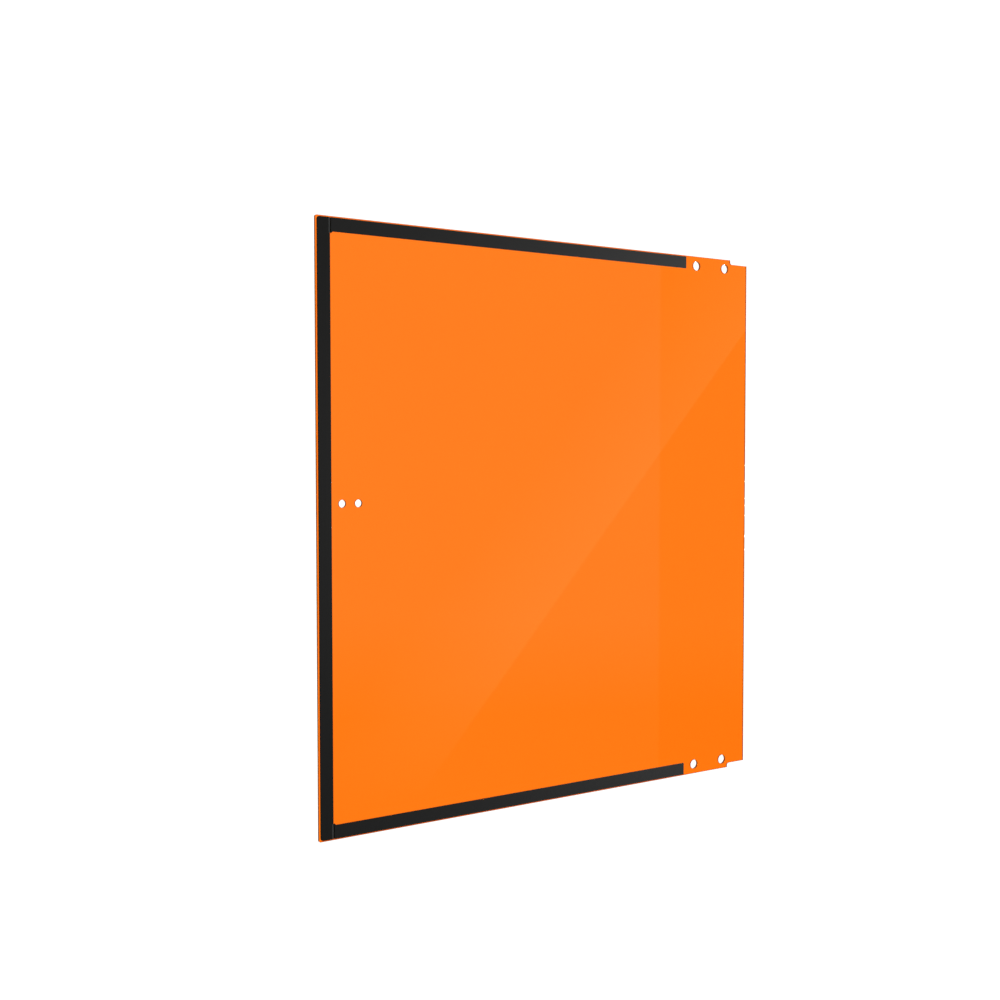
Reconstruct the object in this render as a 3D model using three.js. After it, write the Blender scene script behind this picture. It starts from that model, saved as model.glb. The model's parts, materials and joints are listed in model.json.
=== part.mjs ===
// The hinged leaf of a welding or laser enclosure: a tinted transparent sheet that filters the arc's light,
// with black self-adhesive sealing strips round three of its edges. Units are millimetres.
//
// The leaf stands upright. +X points to its hinge side, +Y out of its plain rear face and +Z up. The origin
// is on the rear face, half way between the two lower hinge holes.

import * as THREE from "three";

// The sheet
const LEAF_HEIGHT = 450;
const LEAF_WIDTH = 415;
const SHEET_THICKNESS = 2;
const FREE_CORNER_RADIUS = 1.25;

// The notch in each corner of the hinge side, which clears the enclosure's frame
const NOTCH_WIDTH = 19.5;
const NOTCH_DEPTH = 3.75;
const NOTCH_FILLET = 2;

// The screw holes for the hinges, one pair at each end of the hinge side
const HINGE_HOLE_RADIUS = 4;
const HINGE_HOLE_TO_SIDE = 25.75;
const HINGE_HOLE_SPACING = 32.5;
const HINGE_HOLE_TO_END = 8;

// The screw holes for the handle or latch, side by side near the free edge
const HANDLE_HOLE_RADIUS = 2.9;
const HANDLE_HOLE_TO_FREE_EDGE = 20;
const HANDLE_HOLE_SPACING = 13;
const HANDLE_HOLES_ABOVE_MIDDLE = 19.5;

// The sealing strips on the front face, and the adhesive under them
const STRIP_WIDTH = 10;
const STRIP_MARGIN = 1;
const STRIP_END_TO_SIDE = 71;
const STRIP_OUTER_RADIUS = 2;
const STRIP_TOE_RADIUS = 2.5;
const STRIP_TOE_END_ANGLE = (5 * Math.PI) / 6;
const STRIP_JOINT_GAP = 0.75;
const ADHESIVE_THICKNESS = 0.125;
const STRIP_THICKNESS = 0.875;

// Divisions of an arc, each of which is drawn as two straight pieces
const ARC_DIVISIONS = 16;

// The leaf's outline as seen from the front, with the origin between the lower hinge holes
const HINGE_EDGE = HINGE_HOLE_TO_SIDE + HINGE_HOLE_SPACING / 2;
const FREE_EDGE = HINGE_EDGE - LEAF_WIDTH;
const BOTTOM = -HINGE_HOLE_TO_END;
const TOP = BOTTOM + LEAF_HEIGHT;
const MIDDLE = (BOTTOM + TOP) / 2;

const filterSheet = new THREE.MeshStandardMaterial({
  color: 0xff7f20,
  roughness: 0.08,
  metalness: 0,
  transparent: true,
  opacity: 0.75,
});
const blackFoam = new THREE.MeshStandardMaterial({ color: 0x242425, roughness: 0.7, metalness: 0 });
const adhesiveFilm = new THREE.MeshStandardMaterial({ color: 0x16161a, roughness: 0.5, metalness: 0 });

// A round hole through a plate, to push onto its shape's holes
function roundHole(x, z, radius) {
  return new THREE.Path().absarc(x, z, radius, 0, 2 * Math.PI, true);
}

// The sheet's outline, drawn anticlockwise from its lower free corner
function sheetOutline() {
  const shape = new THREE.Shape();
  const notchEdge = HINGE_EDGE - NOTCH_WIDTH;
  const radius = FREE_CORNER_RADIUS;
  shape.moveTo(FREE_EDGE + radius, BOTTOM);
  shape.lineTo(notchEdge, BOTTOM);
  shape.lineTo(notchEdge, BOTTOM + NOTCH_DEPTH - NOTCH_FILLET);
  shape.absarc(
    notchEdge + NOTCH_FILLET,
    BOTTOM + NOTCH_DEPTH - NOTCH_FILLET,
    NOTCH_FILLET,
    Math.PI,
    Math.PI / 2,
    true,
  );
  shape.lineTo(HINGE_EDGE, BOTTOM + NOTCH_DEPTH);
  shape.lineTo(HINGE_EDGE, TOP - NOTCH_DEPTH);
  shape.lineTo(notchEdge + NOTCH_FILLET, TOP - NOTCH_DEPTH);
  shape.absarc(
    notchEdge + NOTCH_FILLET,
    TOP - NOTCH_DEPTH + NOTCH_FILLET,
    NOTCH_FILLET,
    -Math.PI / 2,
    -Math.PI,
    true,
  );
  shape.lineTo(notchEdge, TOP);
  shape.lineTo(FREE_EDGE + radius, TOP);
  shape.absarc(FREE_EDGE + radius, TOP - radius, radius, Math.PI / 2, Math.PI, false);
  shape.lineTo(FREE_EDGE, BOTTOM + radius);
  shape.absarc(FREE_EDGE + radius, BOTTOM + radius, radius, Math.PI, 1.5 * Math.PI, false);
  return shape;
}

// The four hinge holes and the two handle holes
function sheetHoles() {
  const holes = [];
  for (const side of [-1, 1]) {
    const x = (side * HINGE_HOLE_SPACING) / 2;
    for (const z of [BOTTOM + HINGE_HOLE_TO_END, TOP - HINGE_HOLE_TO_END]) {
      holes.push(roundHole(x, z, HINGE_HOLE_RADIUS));
    }
  }
  for (const place of [0, 1]) {
    const x = FREE_EDGE + HANDLE_HOLE_TO_FREE_EDGE + place * HANDLE_HOLE_SPACING;
    holes.push(roundHole(x, MIDDLE + HANDLE_HOLES_ABOVE_MIDDLE, HANDLE_HOLE_RADIUS));
  }
  return holes;
}

// The strip along the free edge, which has its two outer corners rounded
function freeEdgeStripOutline() {
  const left = FREE_EDGE + STRIP_MARGIN;
  const right = left + STRIP_WIDTH;
  const low = BOTTOM + STRIP_MARGIN;
  const high = TOP - STRIP_MARGIN;
  const radius = STRIP_OUTER_RADIUS;
  const shape = new THREE.Shape();
  shape.moveTo(left + radius, low);
  shape.lineTo(right, low);
  shape.lineTo(right, high);
  shape.lineTo(left + radius, high);
  shape.absarc(left + radius, high - radius, radius, Math.PI / 2, Math.PI, false);
  shape.lineTo(left, low + radius);
  shape.absarc(left + radius, low + radius, radius, Math.PI, 1.5 * Math.PI, false);
  return shape;
}

// A strip along the top (end 1) or the bottom (end -1), which starts at the stated gap from the free edge's
// strip. A small blunt toe there rounds off the border's inner corner.
function endStripOutline(end, gap) {
  const left = FREE_EDGE + STRIP_MARGIN + STRIP_WIDTH + gap;
  const right = HINGE_EDGE - STRIP_END_TO_SIDE;
  const outer = LEAF_HEIGHT / 2 - STRIP_MARGIN;
  const inner = outer - STRIP_WIDTH;
  const toe = STRIP_TOE_RADIUS;
  const toeEnd = inner - toe + toe * Math.sin(STRIP_TOE_END_ANGLE);
  const height = (fromMiddle) => MIDDLE + end * fromMiddle;
  const shape = new THREE.Shape();
  shape.moveTo(left, height(outer));
  shape.lineTo(left, height(toeEnd));
  shape.absarc(
    left + toe,
    height(inner - toe),
    toe,
    end * STRIP_TOE_END_ANGLE,
    (end * Math.PI) / 2,
    end > 0,
  );
  shape.lineTo(right, height(inner));
  shape.lineTo(right, height(outer));
  return shape;
}

// A flat piece of the stated outline. Its back is at the height given above the sheet's rear face.
function flatPiece(name, outline, height, thickness, material) {
  const geometry = new THREE.ExtrudeGeometry(outline, {
    depth: thickness,
    bevelEnabled: false,
    curveSegments: ARC_DIVISIONS,
  });
  const mesh = new THREE.Mesh(geometry, material);
  mesh.name = name;
  mesh.position.z = height;
  return mesh;
}

// The leaf is laid out flat with its front up, and the group then stands it upright with its front to -Y.
const leaf = new THREE.Group();
leaf.rotation.x = Math.PI / 2;

const sheet = sheetOutline();
sheet.holes.push(...sheetHoles());
leaf.add(flatPiece("panel", sheet, 0, SHEET_THICKNESS, filterSheet));

// The adhesive runs on under the gaps between the strips.
const adhesives = {
  left: freeEdgeStripOutline(),
  top: endStripOutline(1, 0),
  bottom: endStripOutline(-1, 0),
};
for (const [place, outline] of Object.entries(adhesives)) {
  leaf.add(flatPiece(`adhesive_${place}`, outline, SHEET_THICKNESS, ADHESIVE_THICKNESS, adhesiveFilm));
}
const strips = {
  left: freeEdgeStripOutline(),
  top: endStripOutline(1, STRIP_JOINT_GAP),
  bottom: endStripOutline(-1, STRIP_JOINT_GAP),
};
const stripBack = SHEET_THICKNESS + ADHESIVE_THICKNESS;
for (const [place, outline] of Object.entries(strips)) {
  leaf.add(flatPiece(`seal_strip_${place}`, outline, stripBack, STRIP_THICKNESS, blackFoam));
}

const screenLeaf = new THREE.Group();
screenLeaf.add(leaf);

export default screenLeaf;
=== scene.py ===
"""A rigid orange-tinted screen leaf with black sealing strips: its surfaces, materials, light and camera.

Named lengths are in metres and named angles in degrees, unless the name says otherwise. The leaf stands
upright in the XZ plane with its strips towards -Y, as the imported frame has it.
"""

import json
import math

import bmesh
import bpy
from mathutils import Matrix, Vector


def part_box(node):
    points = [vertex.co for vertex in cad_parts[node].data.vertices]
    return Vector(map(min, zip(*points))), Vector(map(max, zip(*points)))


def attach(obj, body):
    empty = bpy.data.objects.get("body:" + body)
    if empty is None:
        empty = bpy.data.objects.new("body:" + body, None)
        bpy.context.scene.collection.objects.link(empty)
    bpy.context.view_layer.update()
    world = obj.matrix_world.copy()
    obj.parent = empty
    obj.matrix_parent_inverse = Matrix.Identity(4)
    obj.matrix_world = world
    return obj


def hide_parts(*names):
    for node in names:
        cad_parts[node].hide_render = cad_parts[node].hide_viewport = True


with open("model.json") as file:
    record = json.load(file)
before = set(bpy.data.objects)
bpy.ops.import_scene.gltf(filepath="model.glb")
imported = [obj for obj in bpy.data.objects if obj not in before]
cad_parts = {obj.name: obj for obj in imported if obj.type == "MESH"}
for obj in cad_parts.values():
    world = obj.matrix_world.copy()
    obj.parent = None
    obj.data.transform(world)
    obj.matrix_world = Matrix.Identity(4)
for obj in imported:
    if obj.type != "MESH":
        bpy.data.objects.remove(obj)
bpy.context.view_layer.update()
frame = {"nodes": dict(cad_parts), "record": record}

# The sheet. Its outer size and the places of its holes come from the frame.
FREE_CORNER_RADIUS = 0.00125
NOTCH_WIDTH = 0.0195
NOTCH_DEPTH = 0.00375
NOTCH_FILLET = 0.002
HOLE_RADIUS = {"hinge": 0.004, "handle": 0.0029}
SHEET_EDGE_BREAK = 0.00008
SHEET_TO_ADHESIVE = 0.00002

# The sealing strips
STRIP_WIDTH = 0.01
STRIP_OUTER_RADIUS = 0.002
STRIP_TOE_RADIUS = 0.0025
STRIP_TOE_END_ANGLE = 150
STRIP_EDGE_ROUND = 0.00008
STRIP_BACK_ROUND = 0.00002

# Each strip's tone, tuned to its brightness in the photograph, and the darkest and lightest colours of its
# grain as parts of that. The strips are one black foam, and their tones differ as painted shade and light:
# the free edge's strip is painted darker, and the top strip a little lighter than the bottom.
FOAM_TONE_WITH_PAINTED_SHADE = {"left": 0.0045, "top": 0.0060, "bottom": 0.0058}
FOAM_DARKEST = (0.86, 0.87, 0.89)
FOAM_LIGHTEST = (1.13, 1.14, 1.16)

# The free edge's strip is pressed down a little beside the two joints, with a painted highlight on the slope
PRESSED_WIDTH = 0.0011
PRESSED_DEPTH = 0.00015
PRESSED_END_SLOPE = 0.0004
# The painted highlight's tone: a grey far lighter than the strip's own black
PAINTED_HIGHLIGHT_TONE = 0.0155

# Meshes. The last two say how far along Y a face's normal points when the face is flat or looks forward.
ARC_STEP_ANGLE = 5
ROUND_STEPS = 4
SHARP_ANGLE = 35
FLAT_FACE_NORMAL = 0.999
FORWARD_FACE_NORMAL = -0.5

# The part of a noise's 0 to 1 that a range of colours or numbers is spread over
NOISE_LOW = 0.3
NOISE_HIGH = 0.7

PLASTIC_IOR = 1.49

# The camera, with its turn to the right of +Y, its tilt above the horizon and its roll
CAMERA_PLACE = Vector((-0.7357, -0.8134, 0.2743))
CAMERA_TURN = 32.54
CAMERA_TILT = -2.263
CAMERA_ROLL = -0.04
CAMERA_LENS_MM = 44.37

# The studio
BACKDROP_LIGHT = 1.12
STUDIO_LIGHT = 0.7
STUDIO_GLOSS = 0.04
FLOOR_DROP = 0.3
FLOOR_SIZE = 60

# The wall that the sheet mirrors. Its pattern is laid out as it is seen on the sheet, in metres from the
# point of the sheet's plane that is square in front of the camera.
WALL_PLACE_Y = -1.2
WALL_SPAN = ((-0.6, 1.4), (-0.9, 0.9))
WALL_UPPER_LEFT = (0.60, 0.52, 0.26)
WALL_UPPER_RIGHT = (0.33, 0.28, 0.10)
WALL_LOWER_LEFT = (0.20, 0.20, 0.055)
WALL_LOWER_RIGHT = (0.0, 0.0, 0.0)
WALL_CORNER_X = 0.679
WALL_DUSK_SLOPE = -0.095
WALL_DUSK_TOP = -0.082
WALL_DUSK_BOTTOM = -0.157
GLARE_EDGE_X = 0.621
GLARE_EDGE_Z = -0.066
GLARE_EDGE_ANGLE = 48
GLARE_WIDTH = 0.092
GLARE_FADES_FROM_Z = -0.18
GLARE_GONE_AT_Z = -0.26
GLARE_COLOUR = (0.45, 0.43, 0.18)

# The softbox, to the right of all that the sheet's flat front mirrors
SOFTBOX_PLACE = Vector((0.53, -0.3, 0.22))
SOFTBOX_TARGET = Vector((-0.1, 0.0, 0.25))
SOFTBOX_SIZE = 0.2
SOFTBOX_WATTS = 28


# ---------------------------------------------------------------- outlines, as (x, z) points


def arc(centre, radius, start, end):
    """Points along an arc, both ends included."""
    steps = max(1, round(abs(end - start) / ARC_STEP_ANGLE))
    points = []
    for step in range(steps + 1):
        angle = math.radians(start + (end - start) * step / steps)
        points.append((centre[0] + radius * math.cos(angle), centre[1] + radius * math.sin(angle)))
    return points


def rounded_left(left, right, low, high, radius):
    """An upright rectangle, anticlockwise, with its two left corners rounded."""
    return [
        (right, low),
        (right, high),
        *arc((left + radius, high - radius), radius, 90, 180),
        *arc((left + radius, low + radius), radius, 180, 270),
    ]


def sheet_outline():
    """The sheet's outline, anticlockwise, with rounded free corners and a notch in each hinge corner."""
    low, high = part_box("panel")
    notch = high.x - NOTCH_WIDTH
    radius = FREE_CORNER_RADIUS
    return [
        (notch, low.z),
        *arc((notch + NOTCH_FILLET, low.z + NOTCH_DEPTH - NOTCH_FILLET), NOTCH_FILLET, 180, 90),
        (high.x, low.z + NOTCH_DEPTH),
        (high.x, high.z - NOTCH_DEPTH),
        *arc((notch + NOTCH_FILLET, high.z - NOTCH_DEPTH + NOTCH_FILLET), NOTCH_FILLET, 270, 180),
        (notch, high.z),
        *arc((low.x + radius, high.z - radius), radius, 90, 180),
        *arc((low.x + radius, low.z + radius), radius, 180, 270),
    ]


def sheet_holes():
    """Each hole as a clockwise circle, round the middle of the opening that the record states there."""
    holes = []
    for opening in frame["record"]["physics"]["openings"]:
        low, high = opening["box_m"]
        centre = ((low[0] + high[0]) / 2, (low[2] + high[2]) / 2)
        radius = HOLE_RADIUS[opening["name"].split("_")[0]]
        holes.append(arc(centre, radius, 360, 0)[:-1])
    return holes


def strip_outline(place):
    """A sealing strip's outline, anticlockwise.

    The bottom strip is the top one upside down. A toe on each rounds off the corner at the left strip.
    """
    low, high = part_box(f"seal_strip_{place}")
    if place == "left":
        return rounded_left(low.x, high.x, low.z, high.z, STRIP_OUTER_RADIUS)
    end = 1 if place == "top" else -1
    outer = high.z if place == "top" else low.z
    inner = outer - end * STRIP_WIDTH
    toe = STRIP_TOE_RADIUS
    toe_reach = toe * (1 - math.sin(math.radians(STRIP_TOE_END_ANGLE)))
    outline = [
        (low.x, outer),
        (low.x, inner - end * toe_reach),
        *arc((low.x + toe, inner - end * toe), toe, end * STRIP_TOE_END_ANGLE, end * 90),
        (high.x, inner),
        (high.x, outer),
    ]
    return outline if place == "top" else outline[::-1]


# ---------------------------------------------------------------- meshes


def inset(points, distance):
    """A closed outline moved into its material by a distance, with mitred corners."""
    moved = []
    for index, point in enumerate(points):
        before = Vector(points[index - 1])
        here = Vector(point)
        after = Vector(points[(index + 1) % len(points)])
        first = (here - before).normalized()
        second = (after - here).normalized()
        first_side = Vector((-first.y, first.x))
        second_side = Vector((-second.y, second.x))
        mitre = (first_side + second_side) / (1 + first_side.dot(second_side))
        moved.append(here + mitre * distance)
    return moved


def ring_levels(front, back, front_round, back_round):
    """(inset, y) of each ring of points, from the front face's rim over both rounded edges to the back's."""
    levels = []
    for step in range(ROUND_STEPS + 1):
        angle = math.pi / 2 * step / ROUND_STEPS
        distance = front_round * (1 - math.sin(angle))
        levels.append((distance, front + front_round * (1 - math.cos(angle))))
    for step in range(ROUND_STEPS + 1):
        angle = math.pi / 2 * step / ROUND_STEPS
        distance = back_round * (1 - math.cos(angle))
        levels.append((distance, back - back_round * (1 - math.sin(angle))))
    return levels


def plate(name, loops, levels, materials):
    """A closed flat piece. The loops run with the material on their left.

    Where there are two materials, the second is for the edge between the rounded rims.
    """
    mesh = bmesh.new()
    rims = ([], [])
    wall_gap = len(levels) // 2 - 1
    for loop in loops:
        rings = []
        for distance, y in levels:
            rings.append([mesh.verts.new((x, y, z)) for x, z in inset(loop, distance)])
        count = len(loop)
        for level in range(len(rings) - 1):
            for index in range(count):
                after = (index + 1) % count
                corners = (
                    rings[level][index],
                    rings[level][after],
                    rings[level + 1][after],
                    rings[level + 1][index],
                )
                side = mesh.faces.new(corners)
                side.material_index = len(materials) - 1 if level == wall_gap else 0
        for rim, ring in zip(rims, (rings[0], rings[-1])):
            for index in range(count):
                rim.append(mesh.edges.get((ring[index], ring[(index + 1) % count])))
    for rim in rims:
        bmesh.ops.triangle_fill(mesh, edges=rim, use_beauty=True)
    bmesh.ops.recalc_face_normals(mesh, faces=mesh.faces)
    data = bpy.data.meshes.new(name)
    mesh.to_mesh(data)
    mesh.free()
    shade(data)
    for material in materials:
        data.materials.append(material)
    piece = bpy.data.objects.new(name, data)
    bpy.context.scene.collection.objects.link(piece)
    return piece


def shade(data):
    """Smooth shading round the edges and corners, and flat shading on the front and the back."""
    data.set_sharp_from_angle(angle=math.radians(SHARP_ANGLE))
    for face in data.polygons:
        face.use_smooth = abs(face.normal.y) < FLAT_FACE_NORMAL


def press_beside_joints(data, painted_highlight):
    """Press down the free edge's strip along its inner edge, where the others meet it, and give it a painted
    highlight there.
    """
    low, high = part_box("seal_strip_left")
    joints = (
        (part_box("seal_strip_bottom")[1].z, -1),
        (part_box("seal_strip_top")[0].z, 1),
    )
    slope_start = high.x - PRESSED_WIDTH
    front_depth = 2 * STRIP_EDGE_ROUND
    cuts = [((slope_start, 0, 0), (1, 0, 0))]
    for height, way in joints:
        cuts.append(((0, 0, height), (0, 0, 1)))
        cuts.append(((0, 0, height + way * PRESSED_END_SLOPE), (0, 0, 1)))
    mesh = bmesh.new()
    mesh.from_mesh(data)
    for place, normal in cuts:
        parts = [*mesh.verts, *mesh.edges, *mesh.faces]
        bmesh.ops.bisect_plane(mesh, geom=parts, plane_co=place, plane_no=normal)
    for vertex in mesh.verts:
        if vertex.co.y > low.y + front_depth:
            continue
        across = (vertex.co.x - slope_start) / PRESSED_WIDTH
        along = max((vertex.co.z - height) * way / PRESSED_END_SLOPE for height, way in joints)
        vertex.co.y += PRESSED_DEPTH * min(max(across, 0), 1) * min(max(along, 0), 1)
    bmesh.ops.triangulate(mesh, faces=mesh.faces)
    for face in mesh.faces:
        middle = face.calc_center_median()
        beside = max((middle.z - height) * way for height, way in joints) > 0
        # The pressed slope's forward faces get the painted highlight's lighter foam
        if beside and middle.x > slope_start and face.normal.y < FORWARD_FACE_NORMAL:
            face.material_index = 1
    mesh.to_mesh(data)
    mesh.free()
    data.materials.append(painted_highlight)
    shade(data)


# ---------------------------------------------------------------- materials


def new_material(name):
    """A node material with only its Principled shader, as (material, node tree, shader)."""
    material = bpy.data.materials.new(name)
    material.use_nodes = True
    tree = material.node_tree
    shader = next(node for node in tree.nodes if node.type == "BSDF_PRINCIPLED")
    return material, tree, shader


def noise(tree, scale, detail=3.0, stretch=(1, 1, 1)):
    """Noise over the object's own coordinates, with scale in repeats per metre."""
    place = tree.nodes.new("ShaderNodeTexCoord")
    mapping = tree.nodes.new("ShaderNodeMapping")
    mapping.inputs["Scale"].default_value = stretch
    texture = tree.nodes.new("ShaderNodeTexNoise")
    texture.inputs["Scale"].default_value = scale
    texture.inputs["Detail"].default_value = detail
    tree.links.new(place.outputs["Object"], mapping.inputs["Vector"])
    tree.links.new(mapping.outputs["Vector"], texture.inputs["Vector"])
    return texture.outputs["Fac"]


def spread(tree, value, low, high):
    """A noise mapped to a range of numbers."""
    node = tree.nodes.new("ShaderNodeMapRange")
    node.inputs["From Min"].default_value = NOISE_LOW
    node.inputs["From Max"].default_value = NOISE_HIGH
    node.inputs["To Min"].default_value = low
    node.inputs["To Max"].default_value = high
    tree.links.new(value, node.inputs["Value"])
    return node.outputs["Result"]


def tint(tree, value, dark, light):
    """A noise mapped to a range of colours."""
    node = tree.nodes.new("ShaderNodeValToRGB")
    node.color_ramp.elements[0].position = NOISE_LOW
    node.color_ramp.elements[0].color = (*dark, 1)
    node.color_ramp.elements[1].position = NOISE_HIGH
    node.color_ramp.elements[1].color = (*light, 1)
    tree.links.new(value, node.inputs["Fac"])
    return node.outputs["Color"]


def bump(tree, shader, height, depth):
    """Relief on the shader, with its depth in metres."""
    node = tree.nodes.new("ShaderNodeBump")
    node.inputs["Distance"].default_value = depth
    tree.links.new(height, node.inputs["Height"])
    tree.links.new(node.outputs["Normal"], shader.inputs["Normal"])


def clear_tinted_sheet():
    """Polished transparent plastic, with the faint unevenness of an extruded sheet."""
    material, tree, shader = new_material("clear_tinted_sheet")
    cast = noise(tree, scale=9)
    colour = tint(tree, cast, dark=(1.0, 0.176, 0.0051), light=(1.0, 0.180, 0.0053))
    tree.links.new(colour, shader.inputs["Base Color"])
    roughness = spread(tree, noise(tree, scale=60), low=0.004, high=0.012)
    tree.links.new(roughness, shader.inputs["Roughness"])
    shader.inputs["Transmission Weight"].default_value = 1.0
    shader.inputs["IOR"].default_value = PLASTIC_IOR
    bump(tree, shader, noise(tree, scale=14, detail=1), depth=0.00001)
    return material


def cut_edge():
    """The sheet's sawn edges and drilled hole walls: the same plastic, frosted by fine tool marks."""
    material, tree, shader = new_material("cut_edge")
    marks = noise(tree, scale=2500, detail=2, stretch=(1, 0.15, 1))
    colour = tint(tree, marks, dark=(0.26, 0.062, 0.002), light=(0.38, 0.105, 0.006))
    tree.links.new(colour, shader.inputs["Base Color"])
    tree.links.new(spread(tree, marks, low=0.35, high=0.5), shader.inputs["Roughness"])
    shader.inputs["Transmission Weight"].default_value = 0.1
    shader.inputs["IOR"].default_value = PLASTIC_IOR
    bump(tree, shader, marks, depth=0.00002)
    return material


def black_foam(name, tone):
    """Closed-cell sealing tape: satin black with a very fine grain."""
    material, tree, shader = new_material(name)
    grain = noise(tree, scale=3000, detail=4)
    dark = [tone * part for part in FOAM_DARKEST]
    light = [tone * part for part in FOAM_LIGHTEST]
    colour = tint(tree, grain, dark, light)
    tree.links.new(colour, shader.inputs["Base Color"])
    roughness = spread(tree, noise(tree, scale=250), low=0.55, high=0.65)
    tree.links.new(roughness, shader.inputs["Roughness"])
    shader.inputs["Specular IOR Level"].default_value = 0.04
    bump(tree, shader, grain, depth=0.00002)
    return material


def adhesive_film():
    """The strips' adhesive, pressed on unevenly, so that it looks blotched through the sheet."""
    material, tree, shader = new_material("adhesive_film")
    blotches = noise(tree, scale=400, detail=5)
    colour = tint(tree, blotches, dark=(0.004, 0.004, 0.0045), light=(0.010, 0.010, 0.0105))
    tree.links.new(colour, shader.inputs["Base Color"])
    tree.links.new(spread(tree, blotches, low=0.3, high=0.6), shader.inputs["Roughness"])
    return material


# ---------------------------------------------------------------- the object


def make_sheet():
    """The tinted sheet, a hair clear of the adhesive so that no two faces coincide."""
    low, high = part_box("panel")
    levels = ring_levels(low.y + SHEET_TO_ADHESIVE, high.y, SHEET_EDGE_BREAK, SHEET_EDGE_BREAK)
    loops = [sheet_outline(), *sheet_holes()]
    piece = plate("tinted_sheet", loops, levels, [clear_tinted_sheet(), cut_edge()])
    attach(piece, "root")
    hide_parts("panel")


def make_strips():
    """The three sealing strips, with rounded edges, and the adhesive under them."""
    film = adhesive_film()
    for place in FOAM_TONE_WITH_PAINTED_SHADE:
        node = f"seal_strip_{place}"
        low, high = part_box(node)
        levels = ring_levels(low.y, high.y, STRIP_EDGE_ROUND, STRIP_BACK_ROUND)
        # Each strip's foam is the same black, with its painted shade or light carried in the tone
        foam = black_foam(f"black_foam_{place}", FOAM_TONE_WITH_PAINTED_SHADE[place])
        piece = plate(f"foam_strip_{place}", [strip_outline(place)], levels, [foam])
        if place == "left":
            # The pressed slope on the free edge's strip gets a painted highlight
            press_beside_joints(piece.data, black_foam("painted_highlight_foam", PAINTED_HIGHLIGHT_TONE))
        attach(piece, "root")
        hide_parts(node)
        adhesive = frame["nodes"][f"adhesive_{place}"]
        adhesive.data.materials.clear()
        adhesive.data.materials.append(film)


# ---------------------------------------------------------------- camera, light and floor


def make_camera():
    """The camera, with the place, turn and lens that give the photograph's view of the leaf."""
    data = bpy.data.cameras.new("camera")
    data.lens = CAMERA_LENS_MM
    data.sensor_width = 36
    data.clip_start = 0.01
    camera = bpy.data.objects.new("camera", data)
    turn = Matrix.Rotation(math.radians(-CAMERA_TURN), 4, "Z")
    tilt = Matrix.Rotation(math.radians(90 + CAMERA_TILT), 4, "X")
    roll = Matrix.Rotation(math.radians(CAMERA_ROLL), 4, "Z")
    camera.matrix_world = Matrix.Translation(CAMERA_PLACE) @ turn @ tilt @ roll
    bpy.context.scene.collection.objects.link(camera)
    bpy.context.scene.camera = camera


def make_world():
    """White behind all that is looked at or through, and a dimmer studio for light and gloss."""
    world = bpy.data.worlds.new("studio")
    bpy.context.scene.world = world
    world.use_nodes = True
    tree = world.node_tree
    tree.nodes.clear()
    path = tree.nodes.new("ShaderNodeLightPath")
    seen = tree.nodes.new("ShaderNodeMath")
    seen.operation = "MAXIMUM"
    tree.links.new(path.outputs["Is Camera Ray"], seen.inputs[0])
    tree.links.new(path.outputs["Is Transmission Ray"], seen.inputs[1])
    lit = tree.nodes.new("ShaderNodeMix")
    lit.inputs["A"].default_value = STUDIO_LIGHT
    lit.inputs["B"].default_value = STUDIO_GLOSS
    tree.links.new(path.outputs["Is Glossy Ray"], lit.inputs["Factor"])
    strength = tree.nodes.new("ShaderNodeMix")
    strength.inputs["B"].default_value = BACKDROP_LIGHT
    tree.links.new(seen.outputs[0], strength.inputs["Factor"])
    tree.links.new(lit.outputs["Result"], strength.inputs["A"])
    background = tree.nodes.new("ShaderNodeBackground")
    background.inputs["Color"].default_value = (1, 1, 1, 1)
    output = tree.nodes.new("ShaderNodeOutputWorld")
    tree.links.new(strength.outputs["Result"], background.inputs["Strength"])
    tree.links.new(background.outputs["Background"], output.inputs["Surface"])


def glowing_material(name):
    """A material that only glows, as (material, emission shader)."""
    material = bpy.data.materials.new(name)
    material.use_nodes = True
    tree = material.node_tree
    tree.nodes.clear()
    glow = tree.nodes.new("ShaderNodeEmission")
    output = tree.nodes.new("ShaderNodeOutputMaterial")
    tree.links.new(glow.outputs["Emission"], output.inputs["Surface"])
    return material, glow


def make_floor():
    """A plain floor, as evenly white as the backdrop."""
    floor_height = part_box("panel")[0].z - FLOOR_DROP
    bpy.ops.mesh.primitive_plane_add(size=FLOOR_SIZE, location=(0, 0, floor_height))
    floor = bpy.context.object
    floor.name = "floor"
    material, glow = glowing_material("floor")
    glow.inputs["Color"].default_value = (1, 1, 1, 1)
    glow.inputs["Strength"].default_value = BACKDROP_LIGHT
    floor.data.materials.append(material)
    floor.visible_glossy = False


def calculation(tree, operation, first, second):
    """The result of an operation on two values, each a node's output or a number."""
    node = tree.nodes.new("ShaderNodeMath")
    node.operation = operation
    for socket, value in zip(node.inputs, (first, second)):
        if isinstance(value, bpy.types.NodeSocket):
            tree.links.new(value, socket)
        else:
            socket.default_value = value
    return node.outputs[0]


def blend(tree, factor, first, second, blend_type="MIX"):
    """Two colours blended by a factor, each a node's output or three numbers."""
    node = tree.nodes.new("ShaderNodeMix")
    node.data_type = "RGBA"
    node.blend_type = blend_type
    tree.links.new(factor, node.inputs["Factor"])
    colours = [socket for socket in node.inputs if socket.type == "RGBA"]
    for socket, value in zip(colours, (first, second)):
        if isinstance(value, bpy.types.NodeSocket):
            tree.links.new(value, socket)
        else:
            socket.default_value = (*value, 1)
    return next(socket for socket in node.outputs if socket.type == "RGBA")


def ramp(tree, value, start, end):
    """0 to 1 as a value goes from its start to its end."""
    node = tree.nodes.new("ShaderNodeMapRange")
    node.inputs["From Min"].default_value = start
    node.inputs["From Max"].default_value = end
    tree.links.new(value, node.inputs["Value"])
    return node.outputs["Result"]


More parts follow.
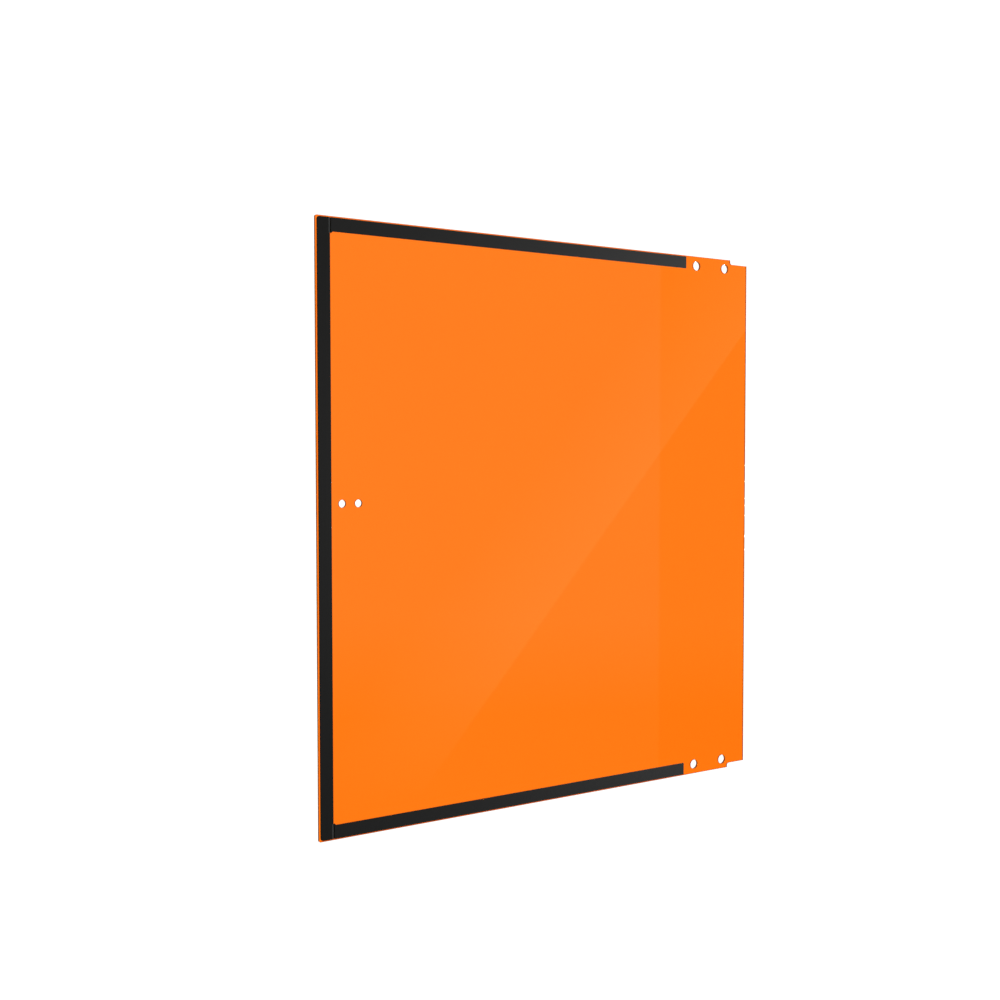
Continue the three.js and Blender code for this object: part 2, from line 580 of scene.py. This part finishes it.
def wall_pattern(tree):
    """The mirrored wall's colour: plain parts, and a bright band that ends in a slanting edge."""
    place = tree.nodes.new("ShaderNodeTexCoord")
    split = tree.nodes.new("ShaderNodeSeparateXYZ")
    tree.links.new(place.outputs["Object"], split.inputs[0])
    x = split.outputs["X"]
    z = split.outputs["Z"]
    right_part = calculation(tree, "GREATER_THAN", x, WALL_CORNER_X)
    slanted = calculation(tree, "SUBTRACT", z, calculation(tree, "MULTIPLY", x, WALL_DUSK_SLOPE))
    dusk = ramp(tree, slanted, WALL_DUSK_TOP, WALL_DUSK_BOTTOM)
    upper = blend(tree, right_part, WALL_UPPER_LEFT, WALL_UPPER_RIGHT)
    lower = blend(tree, right_part, WALL_LOWER_LEFT, WALL_LOWER_RIGHT)
    plain = blend(tree, dusk, upper, lower)
    angle = math.radians(GLARE_EDGE_ANGLE)
    along_x = calculation(tree, "SUBTRACT", x, GLARE_EDGE_X)
    along_z = calculation(tree, "SUBTRACT", z, GLARE_EDGE_Z)
    across_x = calculation(tree, "MULTIPLY", along_x, -math.sin(angle))
    across_z = calculation(tree, "MULTIPLY", along_z, math.cos(angle))
    across = calculation(tree, "ADD", across_x, across_z)
    inside = calculation(tree, "GREATER_THAN", across, 0)
    fading = ramp(tree, across, GLARE_WIDTH, 0)
    band = calculation(tree, "MULTIPLY", inside, fading)
    glare = calculation(tree, "MULTIPLY", band, ramp(tree, z, GLARE_GONE_AT_Z, GLARE_FADES_FROM_Z))
    return blend(tree, glare, plain, GLARE_COLOUR, "ADD")


def make_mirrored_wall():
    """A wall behind the camera that only gloss sees."""
    (left, right), (low, high) = WALL_SPAN
    corners = [(left, 0, low), (right, 0, low), (right, 0, high), (left, 0, high)]
    data = bpy.data.meshes.new("mirrored_wall")
    data.from_pydata(corners, [], [(0, 1, 2, 3)])
    wall = bpy.data.objects.new("mirrored_wall", data)
    sheet_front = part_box("panel")[0].y
    to_camera = sheet_front - CAMERA_PLACE.y
    to_wall = sheet_front - WALL_PLACE_Y
    wall.location = (CAMERA_PLACE.x, WALL_PLACE_Y, CAMERA_PLACE.z)
    # Mirrored rays have spread this much wider at the wall than they were at the sheet.
    wall.scale = (1 + to_wall / to_camera,) * 3
    wall.visible_camera = False
    wall.visible_diffuse = False
    wall.visible_transmission = False
    wall.visible_shadow = False
    bpy.context.scene.collection.objects.link(wall)
    material, glow = glowing_material("mirrored_wall")
    tree = material.node_tree
    tree.links.new(wall_pattern(tree), glow.inputs["Color"])
    data.materials.append(material)


def make_softbox():
    """A soft light from the right, which is seen neither directly nor through the sheet."""
    light = bpy.data.lights.new("softbox", "AREA")
    light.size = SOFTBOX_SIZE
    light.energy = SOFTBOX_WATTS
    softbox = bpy.data.objects.new("softbox", light)
    softbox.location = SOFTBOX_PLACE
    softbox.rotation_euler = (SOFTBOX_TARGET - SOFTBOX_PLACE).to_track_quat("-Z", "Y").to_euler()
    softbox.visible_camera = False
    softbox.visible_transmission = False
    bpy.context.scene.collection.objects.link(softbox)


bpy.context.scene.view_settings.view_transform = "Standard"
make_camera()
make_world()
make_floor()
make_mirrored_wall()
make_softbox()
make_sheet()
make_strips()

bpy.context.view_layer.update()
